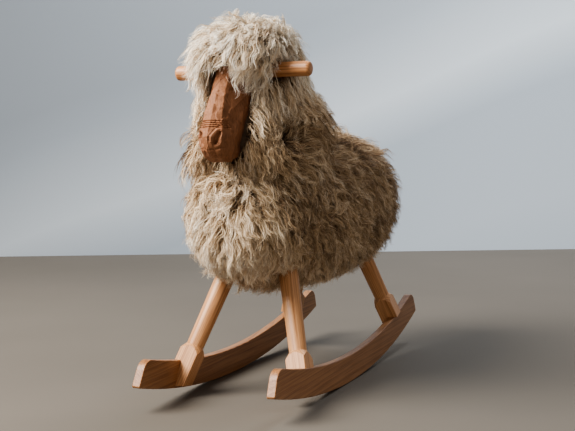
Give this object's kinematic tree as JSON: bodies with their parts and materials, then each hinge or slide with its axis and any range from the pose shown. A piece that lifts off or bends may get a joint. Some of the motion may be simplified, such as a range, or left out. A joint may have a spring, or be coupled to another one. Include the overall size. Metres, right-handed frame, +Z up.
{
  "type": "rocking sheep",
  "caption": "Child's rocking sheep on two curved wooden rockers, with splayed turned legs, a long wool fleece, a carved wooden face and a dowel handle through the head.",
  "frame": {"origin": "on the floor, at the middle of the whole toy's bounding box; the rockers touch the floor a little in front of it at rest", "axes": "+Z up, -Y the way the sheep faces, +X the sheep's left; the rockers run along Y and the handle along X"},
  "size_m": [0.302, 0.8088, 0.6643],
  "materials": {
    "rocker_pine": "satin",
    "leg_pine": "satin",
    "hidden_pine": "matte",
    "face_wood": "satin",
    "handle_wood": "satin",
    "fastener_steel": "satin",
    "wadding": "matte",
    "body_wool": "matte",
    "neck_wool": "matte",
    "head_wool": "matte"
  },
  "bodies": {
    "root": {"left_rocker": "rocker_pine", "right_rocker": "rocker_pine", "front_left_leg": "leg_pine", "front_right_leg": "leg_pine", "rear_left_leg": "leg_pine", "rear_right_leg": "leg_pine", "rocker_dowels": "hidden_pine", "leg_screws": "fastener_steel", "body_block": "hidden_pine", "neck_post": "hidden_pine", "neck_bolts": "fastener_steel", "head_dowels": "hidden_pine", "head_block": "face_wood", "handle_bar": "handle_wood", "handle_pin": "hidden_pine", "body_padding": "wadding", "neck_padding": "wadding", "head_padding": "wadding", "body_fleece": "body_wool", "neck_fleece": "neck_wool", "head_fleece": "head_wool"}
  },
  "joints": []
}
